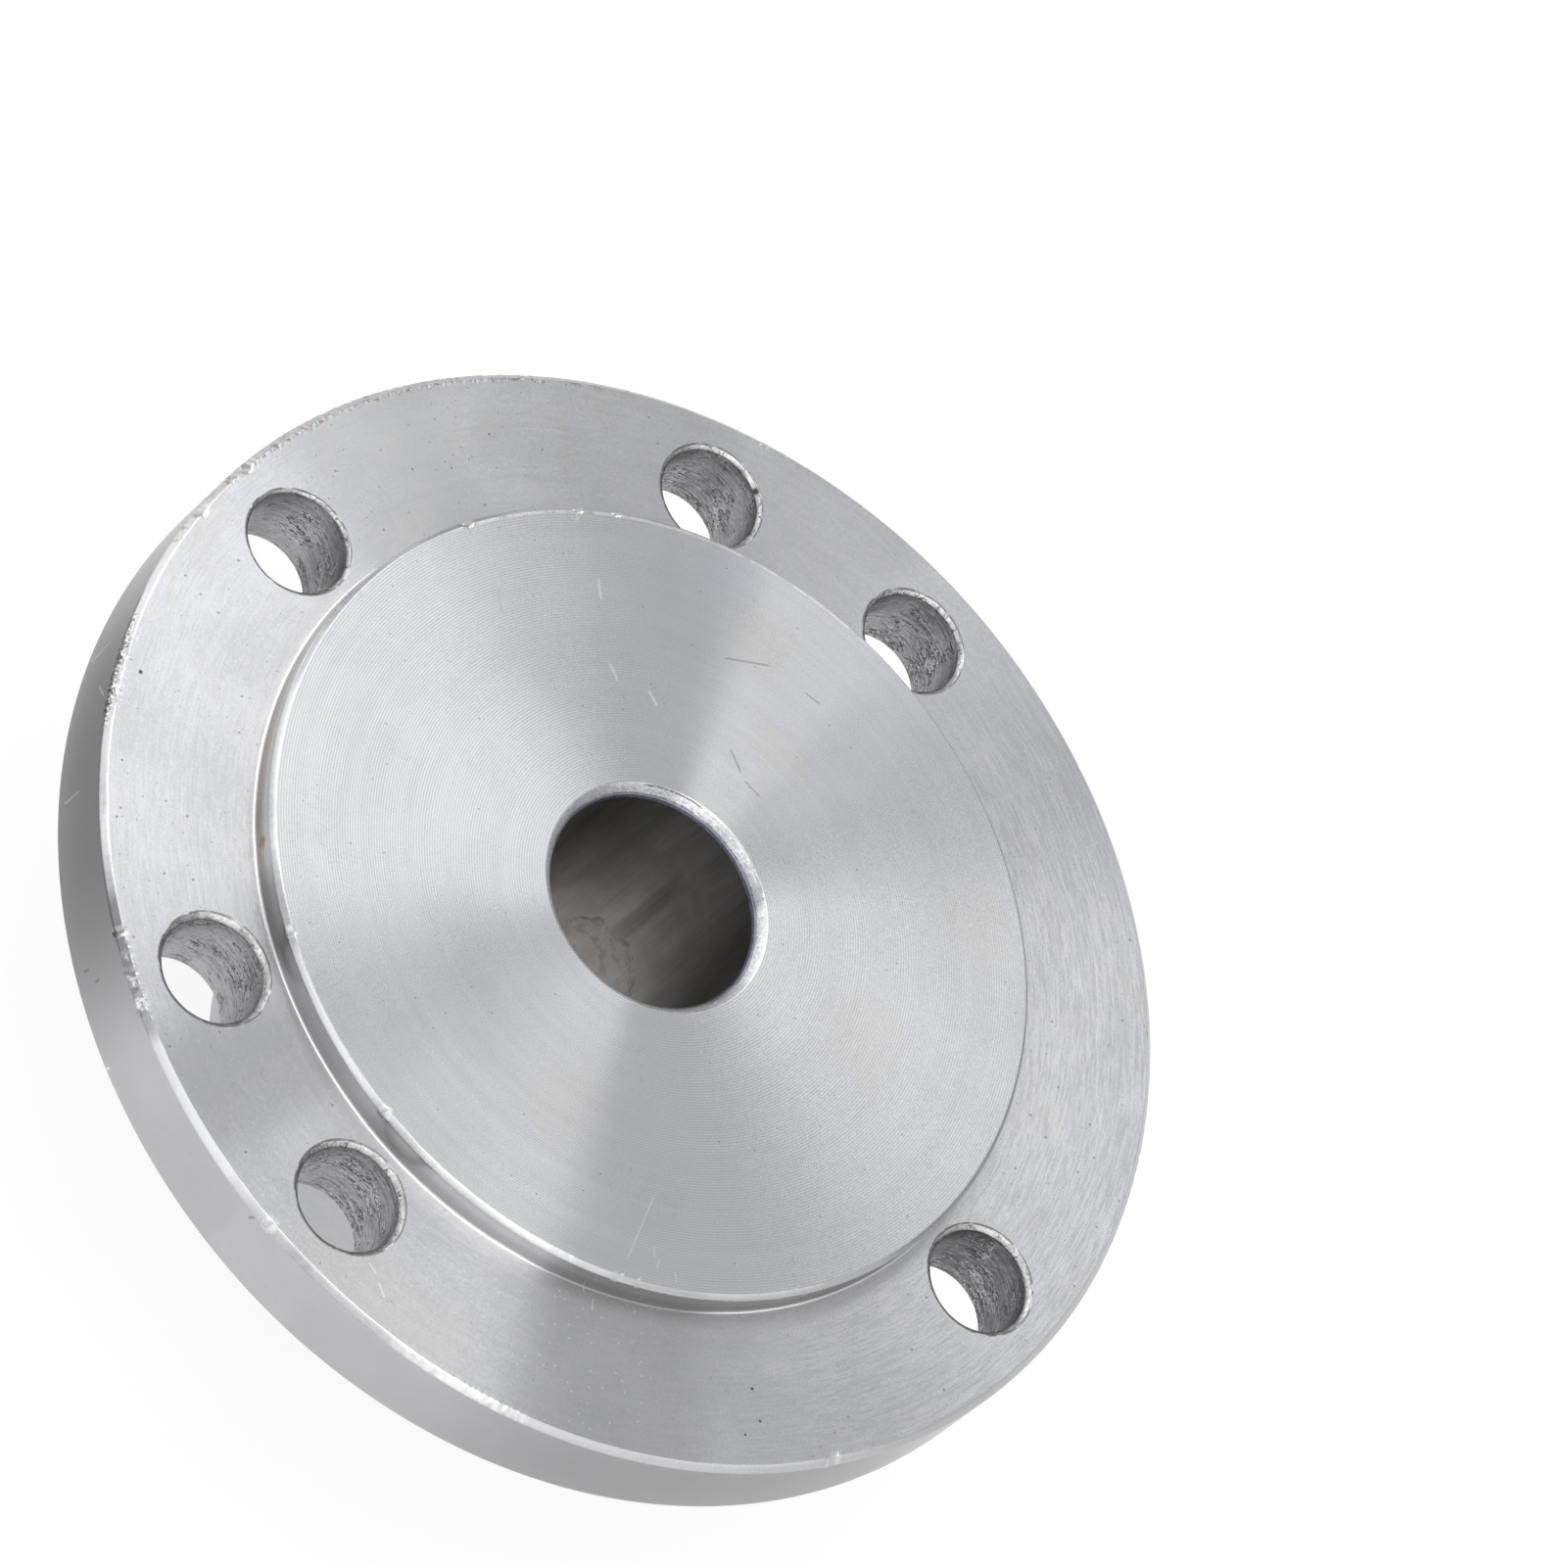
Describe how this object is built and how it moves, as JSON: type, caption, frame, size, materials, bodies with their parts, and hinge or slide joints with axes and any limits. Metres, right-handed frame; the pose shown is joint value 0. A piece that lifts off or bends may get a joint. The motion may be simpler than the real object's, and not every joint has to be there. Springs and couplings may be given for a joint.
{
  "type": "chuck adapter plate",
  "caption": "Round steel adapter plate that carries a lathe chuck: drilled flange, raised centring spigot, rear hub and a plain through bore.",
  "frame": {"origin": "centre of the hub's rear face, on which the plate stands", "axes": "+Z along the bore towards the spigot and the chuck; +X through the bolt hole that both hole patterns share"},
  "size_m": [0.1, 0.1, 0.0414],
  "materials": {
    "turned_steel": "bare steel, faced and turned, with fine concentric tool marks"
  },
  "bodies": {
    "root": {"adapter_plate": "turned_steel"}
  },
  "joints": []
}
